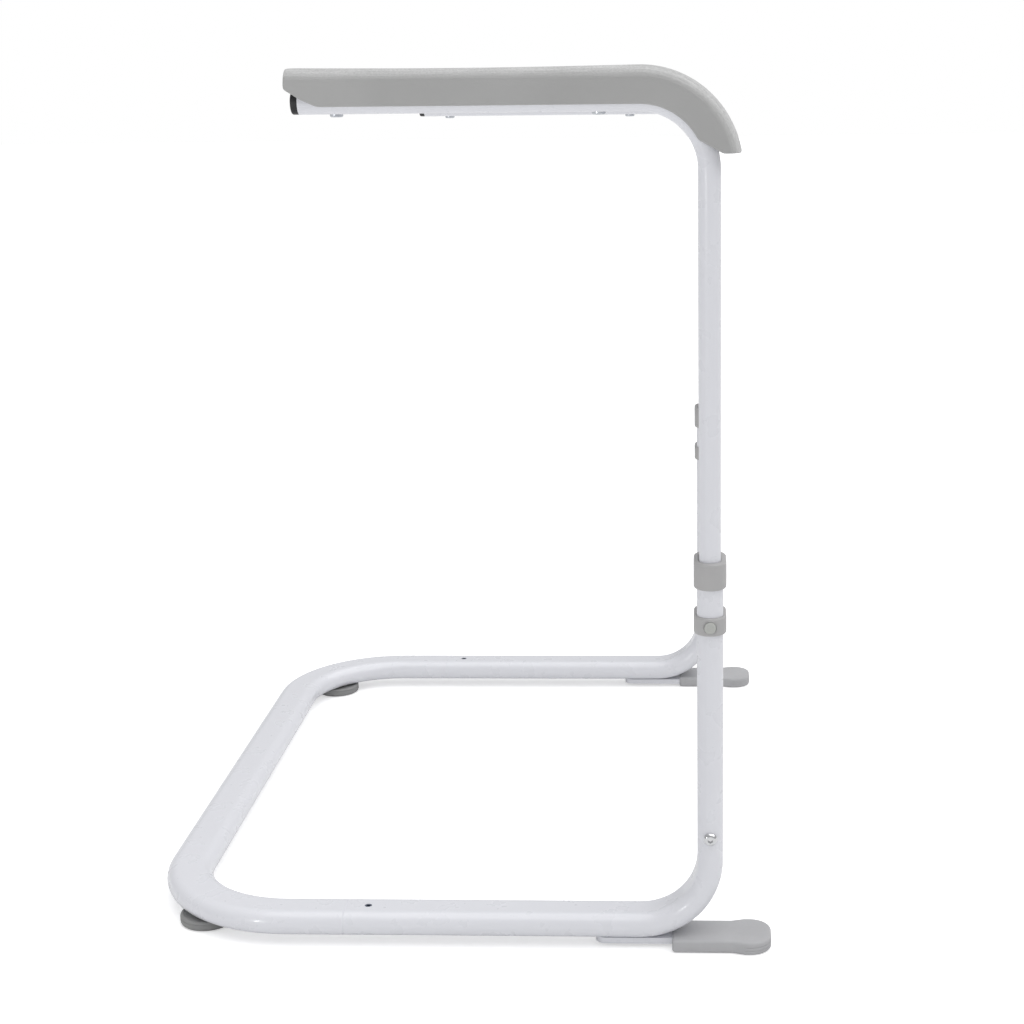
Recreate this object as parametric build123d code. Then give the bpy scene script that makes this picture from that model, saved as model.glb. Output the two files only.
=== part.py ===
from build123d import *
import os
from math import cos, radians, sqrt, tan

# Free-standing bed assist rail: a U-shaped floor frame, two posts and two padded arms.
# Millimetres. +X points out of the bed towards the posts, +Y to the user's left, +Z up.
# The origin is on the floor, in the middle of the frame's outline. "right" is the -Y side.

# Overall layout
POST_SPACING = 628.0  # between the posts' centrelines
REACH = 440.0  # from the crossbar's centreline to the posts' centrelines
BOOT_BEYOND_POST = 48.0  # from a post's centreline to the end of its rubber boot
BASE_Z = 18.0  # height of the floor tube's centreline
ARM_Z = 653.6  # height of the arm's centreline where it meets the post's, right arm
NOTCH = 20.0  # height step between two lock positions
NOTCHES_DOWN = 2  # lock positions under the right arm's present one
NOTCHES_UP = 2
LEFT_LOWER = 1  # the left arm is stored this many notches lower

# Flat-oval tubes: thickness, width and wall
TUBE_T = 20.0
TUBE_W = 38.0
WALL = 1.5
SLIDE_GAP = 0.3  # between the arm tube and the post around it
ARM_T = TUBE_T - 2 * WALL - 2 * SLIDE_GAP
ARM_W = TUBE_W - 2 * WALL - 2 * SLIDE_GAP
FIT = 0.1  # between fixed pieces that slip together
PAST = 1.0  # how far a cutting shape passes the face it opens

# Bends, on the centreline
BASE_CORNER_R = 100.0
FOOT_BEND_R = 55.0
ARM_BEND_R = 50.0
ARM_SLOPE = -0.1  # degrees, falling towards the free end: the arm rises a little

# Post
POST_TOP_Z = 311.5
BOLT_Z = 94.6
BOLT_R = 3.0
BOLT_HEAD_R = 5.4
BOLT_HEAD_H = 3.2
BOLT_HEAD_ROUND = 2.4
BOLT_SOCKET = 4.0  # across the flats
BOLT_SOCKET_DEPTH = 2.0
BOLT_PAST_POST = 7.0
NUT_FLATS = 10.0
NUT_H = 5.0
STOP_BLOCK_H = 12.0
SEAM_BEHIND_POST = 290.5
SEAM_CHAMFER = 0.35
SLEEVE_LENGTH = 80.0
SLEEVE_WALL = 1.5
SLEEVE_SCREW_OFFSET = 18.0  # from the seam, on top of the tube
SLEEVE_SCREW_R = 2.8
SLEEVE_SCREW_LENGTH = 5.0
SLEEVE_SCREW_SUNK = 0.3
SLEEVE_SCREW_RECESS = (1.26, 2.0)  # radius, and depth from the tube's top

# Collars
COLLAR_T = 24.8
COLLAR_W = 44.0
COLLAR_ROUND = 2.0
LOCK_COLLAR_Z = (258.9, 273.0)
TOP_BUSH_Z = (294.3, 315.3)

# Push button and the lock pin behind it, one pair for each post
PIN_Z = 266.3
PIN_R = 3.2
PIN_HOLE_R = 3.5
BUTTON_R = 4.6
BUTTON_HEAD = 2.0
BUTTON_ROUND = 1.2
BUTTON_PROUD = 1.6  # of the bezel
BUTTON_GAP = 0.3
BEZEL_R = 5.5
BEZEL_PROUD = 0.8  # of the collar
SPRING_WIRE_R = 0.25
SPRING_COIL_R = 4.15
SPRING_TURNS = 2

# Arm tube
ARM_BOTTOM_Z = 150.0
ARM_END_BEHIND_POST = 293.0
ARM_SCREWS_BEHIND_POST = (79.0, 268.0)
ARM_SCREW_R = 2.5
ARM_SCREW_HEAD_R = 4.8
ARM_SCREW_HEAD_H = 2.2
ARM_SCREW_ROUND = 1.2
ARM_SCREW_SLOT = (4.4, 1.0, 1.0)  # length, width and depth of each arm of the cross
PLUG_FLANGE = 4.0
PLUG_DEPTH = 14.0
PLUG_WALL = 2.5
PLUG_CHAMFER = 1.0
CAP_ROUND = 2.0

# Arm pad, measured across the tube from its centreline
PAD_W = 46.0
PAD_OVER_TUBE = 16.0
PAD_SHOULDER_R = 11.5
PAD_BELOW_AXIS = 2.8
PAD_OVERHANG = 8.5  # past the tube's free end
PAD_TIP_Z = 615.7
PAD_GAP = 0.15
PAD_END_FACE = 13.5  # height of the end's upright face
PAD_END_SLANT = 16.0  # length of the slant under it
INSERT_W = 24.0
INSERT_T = 3.0
INSERT_OVER_TUBE = 4.0
INSERT_MARGIN = 16.0  # past the outermost screws

# Floor brackets, boots and disc feet
PLATE_T = 5.0
PLATE_W = 26.0
PLATE_BEHIND_POST = 90.5
PLATE_BEYOND_POST = 40.0
PLATE_CORNER_R = 8.0
BOOT_H = 10.5
BOOT_BEHIND_POST = 30.0
BOOT_NECK_W = 38.0
BOOT_END_W = 44.0
BOOT_OUTWARD = 4.0  # from the post's centreline to the boot's, away from the bed
BOOT_END_FROM_POST = 22.0
BOOT_END_R = 11.0
BOOT_ROUND = 1.8
BOOT_NECK_CORNER_R = 4.0
DISC_R = 22.5
DISC_ROUND = 1.5
DISC_SCREW_R = 2.5
DISC_SCREW_HEAD_R = 5.0
DISC_SCREW_HEAD_H = 3.0
DISC_SCREW_HEAD_Z = 1.2
DISC_SCREW_PAST_WALL = 3.0

# Worked out from the above
DEPTH = TUBE_W / 2 + REACH + BOOT_BEYOND_POST
POST_X = DEPTH / 2 - BOOT_BEYOND_POST
POST_Y = -POST_SPACING / 2
CROSSBAR_X = POST_X - REACH
SEAM_X = POST_X - SEAM_BEHIND_POST
TUBE_BOTTOM_Z = BASE_Z - TUBE_T / 2
POST_FACE_Y = POST_Y - TUBE_W / 2
BUTTON_BACK_Y = POST_Y - COLLAR_W / 2 - BEZEL_PROUD - BUTTON_PROUD + BUTTON_HEAD
BORE_T = TUBE_T - 2 * WALL
BORE_W = TUBE_W - 2 * WALL
PLUG_T = ARM_T - 2 * WALL - 2 * FIT
PLUG_W = ARM_W - 2 * WALL - 2 * FIT


def oval(plane, thickness, width):
    """Flat-oval section on a plane whose x direction is the section's wide way."""
    return plane * SlotOverall(width, thickness)


def swept_oval(path, thickness, width):
    """Solid flat-oval bar along a path, its wide way starting along Y."""
    start = Plane(origin=path @ 0, x_dir=(0, 1, 0), z_dir=path % 0)
    return sweep(oval(start, thickness, width), path=path)


def tube(path, thickness, width, wall):
    """Open-ended flat-oval tube along a path."""
    outside = swept_oval(path, thickness, width)
    inside = swept_oval(path, thickness - 2 * wall, width - 2 * wall)
    return outside - inside


def upright_oval(thickness, width, low, high):
    """Upright flat-oval block on the right post's axis, between two heights."""
    plane = Plane(origin=(POST_X, POST_Y, low), x_dir=(0, 1, 0), z_dir=(0, 0, 1))
    return extrude(oval(plane, thickness, width), high - low)


def end_rims(block):
    """Edges round the bottom and the top face of an upright block."""
    faces = block.faces().sort_by(Axis.Z)
    return faces[0].edges() + faces[-1].edges()


def along_y(radius, x, y_from, y_to, z):
    """Round bar along +Y between two places."""
    plane = Plane(origin=(x, y_from, z), x_dir=(1, 0, 0), z_dir=(0, 1, 0))
    return extrude(plane * Circle(radius), y_to - y_from)


def along_z(radius, x, y, z_from, z_to):
    """Upright round bar between two heights."""
    return Pos(x, y, z_from) * extrude(Circle(radius), z_to - z_from)


def hexagon_along_y(across_flats, x, y_from, y_to, z):
    """Hexagonal bar along +Y between two places."""
    plane = Plane(origin=(x, y_from, z), x_dir=(1, 0, 0), z_dir=(0, 1, 0))
    hexagon = RegularPolygon(across_flats / sqrt(3), 6)
    return extrude(plane * hexagon, y_to - y_from)


# ---- Floor frame -------------------------------------------------------------------


def ease_seam_ends(bar):
    """Chamfers the outer rim of each tube end that lies in the seam's plane."""
    flat = bar.faces().filter_by(Axis.X)
    ends = [face for face in flat if abs(face.center().X - SEAM_X) < FIT]
    rims = [edge for face in ends for edge in face.outer_wire().edges()]
    return chamfer(rims, SEAM_CHAMFER)


def base_u_tube():
    """U-shaped tube that lies on the floor under the bed, open towards the posts."""
    corners = [
        (SEAM_X, POST_Y, BASE_Z),
        (CROSSBAR_X, POST_Y, BASE_Z),
        (CROSSBAR_X, -POST_Y, BASE_Z),
        (SEAM_X, -POST_Y, BASE_Z),
    ]
    bar = tube(FilletPolyline(*corners, radius=BASE_CORNER_R), TUBE_T, TUBE_W, WALL)
    bar = ease_seam_ends(bar)
    hole = corner_screw(FIT / 2)
    return bar - hole - mirror(hole, about=Plane.XZ)


def side_frame():
    """Floor tube, bend and post in one length of tube."""
    corners = [
        (SEAM_X, POST_Y, BASE_Z),
        (POST_X, POST_Y, BASE_Z),
        (POST_X, POST_Y, POST_TOP_Z),
    ]
    bar = tube(FilletPolyline(*corners, radius=FOOT_BEND_R), TUBE_T, TUBE_W, WALL)
    bar = ease_seam_ends(bar)
    bolt_hole = along_y(BOLT_R + FIT, POST_X, POST_FACE_Y - PAST, -POST_FACE_Y, BOLT_Z)
    pin_hole = along_y(PIN_HOLE_R, POST_X, POST_FACE_Y - PAST, POST_Y, PIN_Z)
    return bar - bolt_hole - pin_hole - sleeve_screw_hole()


def sleeve_screw_hole():
    """Hole for a sleeve screw, down through the tube's top wall and the sleeve's."""
    x = SEAM_X + SLEEVE_SCREW_OFFSET
    return along_z(SLEEVE_SCREW_R + FIT / 2, x, POST_Y, BASE_Z, BASE_Z + TUBE_T)


def joint_sleeve():
    """Spigot inside both tubes, across the seam."""
    path = Line(
        (SEAM_X - SLEEVE_LENGTH / 2, POST_Y, BASE_Z),
        (SEAM_X + SLEEVE_LENGTH / 2, POST_Y, BASE_Z),
    )
    sleeve = tube(path, BORE_T - 2 * FIT, BORE_W - 2 * FIT, SLEEVE_WALL)
    return sleeve - sleeve_screw_hole()


def joint_screw():
    """Grub screw that holds the side frame on the sleeve, set flush with the tube's top."""
    x = SEAM_X + SLEEVE_SCREW_OFFSET
    top = BASE_Z + TUBE_T / 2
    low = top - SLEEVE_SCREW_LENGTH
    body = along_z(SLEEVE_SCREW_R, x, POST_Y, low, top - SLEEVE_SCREW_SUNK)
    recess_r, recess_depth = SLEEVE_SCREW_RECESS
    return body - along_z(recess_r, x, POST_Y, top - recess_depth, top)


# ---- Feet --------------------------------------------------------------------------


def foot_bracket():
    """Flat steel plate welded under the floor tube, reaching out past the post."""
    length = PLATE_BEHIND_POST + PLATE_BEYOND_POST
    centre_x = POST_X + (PLATE_BEYOND_POST - PLATE_BEHIND_POST) / 2
    outline = RectangleRounded(length, PLATE_W, PLATE_CORNER_R)
    return Pos(centre_x, POST_Y, TUBE_BOTTOM_Z - PLATE_T) * extrude(outline, PLATE_T)


def foot_boot():
    """Rubber boot pulled over the plate's end, wider beyond the post."""
    back = POST_X - BOOT_BEHIND_POST
    front = POST_X + BOOT_BEYOND_POST
    end_back = POST_X + BOOT_END_FROM_POST
    neck_length = front - back - BOOT_END_R
    middle_y = POST_Y - BOOT_OUTWARD
    neck = Pos(back + neck_length / 2, middle_y) * RectangleRounded(
        neck_length, BOOT_NECK_W, BOOT_NECK_CORNER_R
    )
    end = Pos((end_back + front) / 2, middle_y) * RectangleRounded(
        front - end_back, BOOT_END_W, BOOT_END_R
    )
    block = extrude(neck + end, BOOT_H)
    block = fillet(end_rims(block), BOOT_ROUND)
    return block - foot_bracket()


def disc_centre():
    """Middle of the right corner's bend, on the tube's centreline."""
    inset = BASE_CORNER_R * (1 - cos(radians(45)))
    return CROSSBAR_X + inset, POST_Y + inset


def corner_foot():
    """Round rubber foot under a corner of the U, with a stepped screw hole."""
    x, y = disc_centre()
    disc = Pos(x, y, 0) * extrude(Circle(DISC_R), TUBE_BOTTOM_Z)
    disc = fillet(disc.edges().sort_by(Axis.Z)[0], DISC_ROUND)
    return disc - corner_screw(FIT / 2, 2 * PAST)


def corner_screw(grow=0.0, below=0.0):
    """Screw up through the disc and the tube's bottom wall, or its hole if it is grown."""
    x, y = disc_centre()
    head_top = DISC_SCREW_HEAD_Z + DISC_SCREW_HEAD_H
    head = along_z(DISC_SCREW_HEAD_R + grow, x, y, DISC_SCREW_HEAD_Z - below, head_top)
    shank_top = TUBE_BOTTOM_Z + WALL + DISC_SCREW_PAST_WALL
    return head + along_z(DISC_SCREW_R + grow, x, y, DISC_SCREW_HEAD_Z, shank_top)


# ---- Post fittings -----------------------------------------------------------------


def post_bolt():
    """Button-head socket bolt across the post, which holds the stop block."""
    top = POST_FACE_Y - BOLT_HEAD_H
    end = POST_Y + TUBE_W / 2 + BOLT_PAST_POST
    shank = along_y(BOLT_R, POST_X, POST_FACE_Y, end, BOLT_Z)
    head = along_y(BOLT_HEAD_R, POST_X, top, POST_FACE_Y, BOLT_Z)
    head = fillet(head.edges().sort_by(Axis.Y)[0], BOLT_HEAD_ROUND)
    socket = hexagon_along_y(BOLT_SOCKET, POST_X, top - PAST, top + BOLT_SOCKET_DEPTH, BOLT_Z)
    return head + shank - socket


def stop_nut():
    """Hexagon nut on the bolt, on the post's inner side."""
    low = POST_Y + TUBE_W / 2
    high = low + NUT_H
    nut = hexagon_along_y(NUT_FLATS, POST_X, low, high, BOLT_Z)
    return nut - along_y(BOLT_R + FIT / 2, POST_X, low - PAST, high + PAST, BOLT_Z)


def stop_block():
    """Plastic block inside the post that the arm tube comes down on at its lowest."""
    low = BOLT_Z - STOP_BLOCK_H / 2
    block = upright_oval(BORE_T - 2 * FIT, BORE_W - 2 * FIT, low, low + STOP_BLOCK_H)
    return block - along_y(BOLT_R + FIT / 2, POST_X, POST_FACE_Y, -POST_FACE_Y, BOLT_Z)


def rounded_collar(low, high):
    """Moulded collar round the post, solid, with rounded rims."""
    body = upright_oval(COLLAR_T, COLLAR_W, low, high)
    return fillet(end_rims(body), COLLAR_ROUND)


def lock_collar():
    """Lower collar, with a bezel and a bore for the push button."""
    low, high = LOCK_COLLAR_Z
    front = POST_Y - COLLAR_W / 2
    bezel = along_y(BEZEL_R, POST_X, front - BEZEL_PROUD, POST_Y, PIN_Z)
    body = rounded_collar(low, high) + bezel
    post = upright_oval(TUBE_T + 2 * FIT, TUBE_W + 2 * FIT, low - PAST, high + PAST)
    outside = front - BEZEL_PROUD - PAST
    bore = along_y(BUTTON_R + BUTTON_GAP, POST_X, outside, POST_Y, PIN_Z)
    return body - post - bore


def lock_button():
    """Push button in the collar's bezel."""
    face = BUTTON_BACK_Y - BUTTON_HEAD
    head = along_y(BUTTON_R, POST_X, face, BUTTON_BACK_Y, PIN_Z)
    return fillet(head.edges().sort_by(Axis.Y)[0], BUTTON_ROUND)


def lock_pin():
    """Pin on the button's back, withdrawn just clear of the arm tube."""
    nose = POST_Y - ARM_W / 2 - SLIDE_GAP
    return along_y(PIN_R, POST_X, BUTTON_BACK_Y, nose, PIN_Z)


def button_spring():
    """Short coil between the button and the post, round the pin."""
    start = BUTTON_BACK_Y + SPRING_WIRE_R
    end = POST_FACE_Y - SPRING_WIRE_R - FIT
    height = end - start
    path = Helix(
        pitch=height / SPRING_TURNS,
        height=height,
        radius=SPRING_COIL_R,
        center=(POST_X, start, PIN_Z),
        direction=(0, 1, 0),
    )
    section = Plane(origin=path @ 0, z_dir=path % 0) * Circle(SPRING_WIRE_R)
    return sweep(section, path=path, is_frenet=True)


def top_bush():
    """Upper collar, over the post's open end, which guides the arm tube."""
    low, high = TOP_BUSH_Z
    post = upright_oval(TUBE_T + 2 * FIT, TUBE_W + 2 * FIT, low - PAST, POST_TOP_Z)
    guide = upright_oval(BORE_T, BORE_W, low - PAST, high + PAST)
    return rounded_collar(low, high) - post - guide


# ---- Arm ---------------------------------------------------------------------------


def arm_run(behind_post):
    """Point on the arm's sloping centreline, at a distance behind the post."""
    return POST_X - behind_post, ARM_Z - behind_post * tan(radians(ARM_SLOPE))


def arm_path(bottom_z, behind_post):
    """The arm's centreline, from a height in the post to a place along the arm."""
    end_x, end_z = arm_run(behind_post)
    corners = [(POST_X, POST_Y, bottom_z), (POST_X, POST_Y, ARM_Z), (end_x, POST_Y, end_z)]
    return FilletPolyline(*corners, radius=ARM_BEND_R)


def arm_frame(behind_post, over_axis=0.0):
    """Place on the arm: local Z points up across the tube, local Y along +Y."""
    x, z = arm_run(behind_post)
    return Pos(x, POST_Y, z) * Rot(0, -ARM_SLOPE, 0) * Pos(0, 0, over_axis)


def arm_tube():
    """Bent arm tube, with lock holes up its outer side and screw holes under the pad."""
    bar = tube(arm_path(ARM_BOTTOM_Z, ARM_END_BEHIND_POST), ARM_T, ARM_W, WALL)
    for step in range(-NOTCHES_UP, NOTCHES_DOWN + 1):
        z = PIN_Z + step * NOTCH
        bar -= along_y(PIN_HOLE_R, POST_X, POST_FACE_Y, POST_Y, z)
    for behind in ARM_SCREWS_BEHIND_POST:
        hole = extrude(Circle(ARM_SCREW_R + FIT), 2 * ARM_T)
        bar -= arm_frame(behind, -ARM_T) * hole
    return bar


def arm_glide_plug():
    """Plastic plug in the arm tube's lower end, which runs inside the post."""
    low = ARM_BOTTOM_Z - PLUG_FLANGE
    flange = upright_oval(ARM_T, ARM_W, low, ARM_BOTTOM_Z)
    flange = chamfer(flange.faces().sort_by(Axis.Z)[0].edges(), PLUG_CHAMFER)
    top = ARM_BOTTOM_Z + PLUG_DEPTH
    spigot = upright_oval(PLUG_T, PLUG_W, ARM_BOTTOM_Z, top)
    hollow = upright_oval(
        PLUG_T - 2 * PLUG_WALL, PLUG_W - 2 * PLUG_WALL, low + PLUG_WALL, top + PAST
    )
    return flange + spigot - hollow


def arm_end_cap():
    """Black plastic plug in the arm tube's free end."""
    section = Plane(origin=(0, 0, 0), x_dir=(0, 1, 0), z_dir=(-1, 0, 0))
    flange = extrude(oval(section, ARM_T, ARM_W), PLUG_FLANGE)
    flange = fillet(flange.faces().sort_by(Axis.X)[0].edges(), CAP_ROUND)
    spigot = extrude(oval(section, PLUG_T, PLUG_W), -PLUG_DEPTH)
    inside = oval(section, PLUG_T - 2 * PLUG_WALL, PLUG_W - 2 * PLUG_WALL)
    hollow = extrude(inside, -PLUG_DEPTH - PAST)
    return arm_frame(ARM_END_BEHIND_POST) * (flange + spigot - hollow)


def pad_section():
    """Half-round section over the tube's upper half, in the pad's start plane."""
    top = ARM_T / 2 + PAD_OVER_TUBE
    height = top + PAD_BELOW_AXIS
    block = Pos(0, top - height / 2) * Rectangle(PAD_W, height)
    return fillet(block.vertices().group_by(Axis.Y)[-1], PAD_SHOULDER_R)


def arm_pad():
    """Soft arm pad over the tube and round its bend, as a plain closed solid."""
    path = arm_path(PAD_TIP_Z - ARM_BEND_R, ARM_END_BEHIND_POST + PAD_OVERHANG)
    start = Plane(origin=path @ 0, x_dir=(0, -1, 0), z_dir=path % 0)
    pad = sweep(start * pad_section(), path=path)
    pad -= Pos(POST_X, POST_Y, PAD_TIP_Z - PAD_W) * Box(2 * PAD_W, 2 * PAD_W, 2 * PAD_W)
    tube_room = swept_oval(
        arm_path(ARM_BOTTOM_Z, ARM_END_BEHIND_POST + 2 * PAD_OVERHANG),
        ARM_T + 2 * PAD_GAP,
        ARM_W + 2 * PAD_GAP,
    )
    insert_room = arm_insert_block(PAD_GAP)
    for behind in ARM_SCREWS_BEHIND_POST:
        insert_room += arm_frame(behind) * extrude(Circle(ARM_SCREW_R + FIT), ARM_T)
    return pad - tube_room - insert_room - pad_end_wedge()


def pad_end_wedge():
    """What the slant under the pad's free end takes away."""
    top = ARM_T / 2 + PAD_OVER_TUBE
    low = -PAD_BELOW_AXIS - PAST
    corners = [(-PAST, top - PAD_END_FACE), (PAD_END_SLANT, low), (-PAST, low)]
    wedge = Polygon(*corners, align=None)
    side = Plane(origin=(0, PAD_W, 0), x_dir=(1, 0, 0), z_dir=(0, -1, 0))
    return arm_frame(ARM_END_BEHIND_POST + PAD_OVERHANG) * extrude(side * wedge, 2 * PAD_W)


def arm_insert_block(grow=0.0):
    """Strip inside the pad, solid, along the arm's straight run."""
    first, last = ARM_SCREWS_BEHIND_POST
    length = last - first + 2 * INSERT_MARGIN + 2 * grow
    middle = (first + last) / 2
    over = ARM_T / 2 + INSERT_OVER_TUBE + INSERT_T / 2
    strip = Box(length, INSERT_W + 2 * grow, INSERT_T + 2 * grow)
    return arm_frame(middle, over) * strip


def pad_insert():
    """Steel strip moulded into the pad, which the pad screws thread into."""
    strip = arm_insert_block()
    for behind in ARM_SCREWS_BEHIND_POST:
        strip -= arm_frame(behind) * extrude(Circle(ARM_SCREW_R + FIT / 2), 2 * ARM_T)
    return strip


def pad_screws():
    """Two pan-head screws, up through the arm tube into the pad's steel strip."""
    low = -ARM_T / 2
    high = ARM_T / 2 + INSERT_OVER_TUBE + INSERT_T
    slot_length, slot_width, slot_depth = ARM_SCREW_SLOT
    solids = []
    for behind in ARM_SCREWS_BEHIND_POST:
        head = extrude(Circle(ARM_SCREW_HEAD_R), -ARM_SCREW_HEAD_H)
        head = fillet(head.edges().sort_by(Axis.Z)[0], ARM_SCREW_ROUND)
        slot = Pos(0, 0, -ARM_SCREW_HEAD_H) * Box(slot_length, slot_width, 2 * slot_depth)
        slot += Rot(0, 0, 90) * slot
        screw = head + extrude(Circle(ARM_SCREW_R), high - low) - slot
        solids.append(arm_frame(behind, low) * screw)
    return Compound(children=[s for screw in solids for s in screw.solids()])


# ---- Both sides --------------------------------------------------------------------

FRAME_SIDE = {
    "side_frame": side_frame,
    "joint_sleeve": joint_sleeve,
    "joint_screw": joint_screw,
    "foot_bracket": foot_bracket,
    "foot_boot": foot_boot,
    "corner_foot": corner_foot,
    "corner_foot_screw": corner_screw,
    "post_bolt": post_bolt,
    "stop_nut": stop_nut,
    "stop_block": stop_block,
    "lock_collar": lock_collar,
    "lock_button": lock_button,
    "lock_pin": lock_pin,
    "button_spring": button_spring,
    "top_bush": top_bush,
}
ARM_SIDE = {
    "arm_tube": arm_tube,
    "arm_glide_plug": arm_glide_plug,
    "arm_end_cap": arm_end_cap,
    "arm_pad": arm_pad,
    "pad_insert": pad_insert,
    "pad_screws": pad_screws,
}


def write(name, shape):
    """One STEP file for one node."""
    export_step(shape, os.path.join("parts", name + ".step"))


os.makedirs("parts", exist_ok=True)
write("base_u_tube", base_u_tube())
for name, make in FRAME_SIDE.items():
    right = make()
    write(name + "_right", right)
    write(name + "_left", mirror(right, about=Plane.XZ))
for name, make in ARM_SIDE.items():
    right = make()
    write(name + "_right", right)
    lowered = Pos(0, 0, -LEFT_LOWER * NOTCH) * mirror(right, about=Plane.XZ)
    write(name + "_left", lowered)
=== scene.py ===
# %% [markdown]
# # A bed assist rail
# A U of white flat-oval steel tube lies on the floor under a bed. Two posts stand at its
# open end, and each carries an arm with a moulded grey pad. The CAD model gives every
# piece its size and place, so this lesson loads it first and never moves it. The tubes
# stay as they came, and the moulded, turned and padded pieces are made again in more
# detail over their plain CAD shapes.

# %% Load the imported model
from contextlib import contextmanager
from math import atan2, cos, pi, radians, sin, tan

import bmesh
import bpy
from mathutils import Matrix, Vector


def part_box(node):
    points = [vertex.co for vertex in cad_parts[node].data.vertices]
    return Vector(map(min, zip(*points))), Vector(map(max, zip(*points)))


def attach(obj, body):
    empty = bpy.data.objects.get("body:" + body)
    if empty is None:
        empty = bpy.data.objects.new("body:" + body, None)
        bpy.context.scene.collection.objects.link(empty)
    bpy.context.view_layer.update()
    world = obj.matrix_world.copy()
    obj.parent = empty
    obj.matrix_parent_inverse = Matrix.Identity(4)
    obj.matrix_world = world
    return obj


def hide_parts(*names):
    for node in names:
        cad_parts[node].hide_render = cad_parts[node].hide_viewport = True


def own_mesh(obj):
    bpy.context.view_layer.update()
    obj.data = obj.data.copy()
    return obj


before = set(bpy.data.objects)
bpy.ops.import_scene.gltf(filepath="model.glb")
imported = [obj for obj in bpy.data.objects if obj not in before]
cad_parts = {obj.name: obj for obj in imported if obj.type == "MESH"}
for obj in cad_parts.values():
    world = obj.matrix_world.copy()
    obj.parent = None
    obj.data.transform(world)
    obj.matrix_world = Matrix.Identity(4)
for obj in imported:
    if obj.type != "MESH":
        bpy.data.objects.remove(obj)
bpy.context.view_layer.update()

# %% [markdown]
# ## The camera
# The rail is seen from its right side, a little from above, with a long lens, so the
# near and the far arm almost cover each other. A small shift keeps the rail in the
# middle of the picture while the camera stands nearly straight in front of the post.

# %% Place the camera
CAMERA_PLACE = (0.1964, -1.6712, 0.682)
CAMERA_TURN = radians(2.643)
CAMERA_DOWN = radians(13.705)
CAMERA_ROLL = radians(-0.764)
CAMERA_LENS = 65.35
CAMERA_SHIFT = -0.10  # in picture widths
camera_data = bpy.data.cameras.new("camera")
camera_data.lens = CAMERA_LENS
camera_data.sensor_width = 36.0
camera_data.shift_x = CAMERA_SHIFT
camera = bpy.data.objects.new("camera", camera_data)
bpy.context.scene.collection.objects.link(camera)
camera.matrix_world = (
    Matrix.Translation(CAMERA_PLACE)
    @ Matrix.Rotation(CAMERA_TURN, 4, "Z")
    @ Matrix.Rotation(radians(90) - CAMERA_DOWN, 4, "X")
    @ Matrix.Rotation(CAMERA_ROLL, 4, "Z")
)
bpy.context.scene.camera = camera
print("camera", tuple(round(x, 3) for x in camera.location), camera_data.lens)

# %% [markdown]
# ## Floor and light
# A white floor runs out to a white surround, as on a sweep of studio paper. A soft sun
# overhead, as wide as a lit ceiling, gives the faint shadows under the feet. A small lamp
# to the front left draws the short bright streaks on the bends of the gloss tube. The
# floor glows a little for the camera alone, so that it comes out a clean white, and the
# standard view keeps white paint white.

# %% Light the floor and the rail
scene = bpy.context.scene
scene.view_settings.view_transform = "Standard"
FLOOR_SIZE = 30.0
FLOOR_GLOW = 0.48  # seen by the camera alone, so it doesn't light the rail
SURROUND = 0.46  # strength of the light from all round
SUN_STRENGTH = 1.74
SUN_WIDTH = radians(80)
SUN_LEAN = radians(20)  # towards the posts


def area_lamp(name, place, towards, size, watts):
    lamp_data = bpy.data.lights.new(name, "AREA")
    lamp_data.shape = "RECTANGLE"
    lamp_data.size, lamp_data.size_y = size
    lamp_data.energy = watts
    lamp = bpy.data.objects.new(name, lamp_data)
    scene.collection.objects.link(lamp)
    lamp.location = place
    lamp.rotation_euler = (Vector(towards) - Vector(place)).to_track_quat("-Z", "Y").to_euler()


def light_the_room():
    world = bpy.data.worlds.new("studio")
    world.use_nodes = True
    scene.world = world
    nodes, links = world.node_tree.nodes, world.node_tree.links
    seen = nodes.new("ShaderNodeBackground")
    seen.inputs["Color"].default_value = (1, 1, 1, 1)
    seen.inputs["Strength"].default_value = 1.0
    lit = nodes["Background"]
    lit.inputs["Color"].default_value = (0.98, 0.985, 1, 1)
    lit.inputs["Strength"].default_value = SURROUND
    path = nodes.new("ShaderNodeLightPath")
    either = nodes.new("ShaderNodeMixShader")
    links.new(path.outputs["Is Camera Ray"], either.inputs["Fac"])
    links.new(lit.outputs["Background"], either.inputs[1])
    links.new(seen.outputs["Background"], either.inputs[2])
    links.new(either.outputs["Shader"], nodes["World Output"].inputs["Surface"])


light_the_room()
sun_data = bpy.data.lights.new("ceiling", "SUN")
sun_data.energy = SUN_STRENGTH
sun_data.angle = SUN_WIDTH
sun = bpy.data.objects.new("ceiling", sun_data)
sun.rotation_euler = (0, SUN_LEAN, 0)
scene.collection.objects.link(sun)
area_lamp("streak lamp", place=(-1.35, -2.3, 0.65), towards=(0, -0.3, 0.05), size=(0.16, 0.5), watts=6)

# %% [markdown]
# ## Finishes
# Each finish starts from one shader. A soft noise varies its colour and gloss a little,
# and a finer one raises the grain that its process leaves: the orange peel of powder
# coat, the spark texture of a moulding tool, the drag lines of plating. Grain depths
# are real depths in metres.

# %% Start a finish
def shader_of(finish):
    return finish.node_tree.nodes["Principled BSDF"]


def start_finish(name, gloss, metallic=0.0, specular=0.5):
    finish = bpy.data.materials.new(name)
    finish.use_nodes = True
    shader = shader_of(finish)
    shader.inputs["Roughness"].default_value = gloss
    shader.inputs["Metallic"].default_value = metallic
    shader.inputs["Specular IOR Level"].default_value = specular
    return finish


def add_node(finish, kind, **inputs):
    node = finish.node_tree.nodes.new(kind)
    for socket, value in inputs.items():
        node.inputs[socket].default_value = value
    return node


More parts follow.
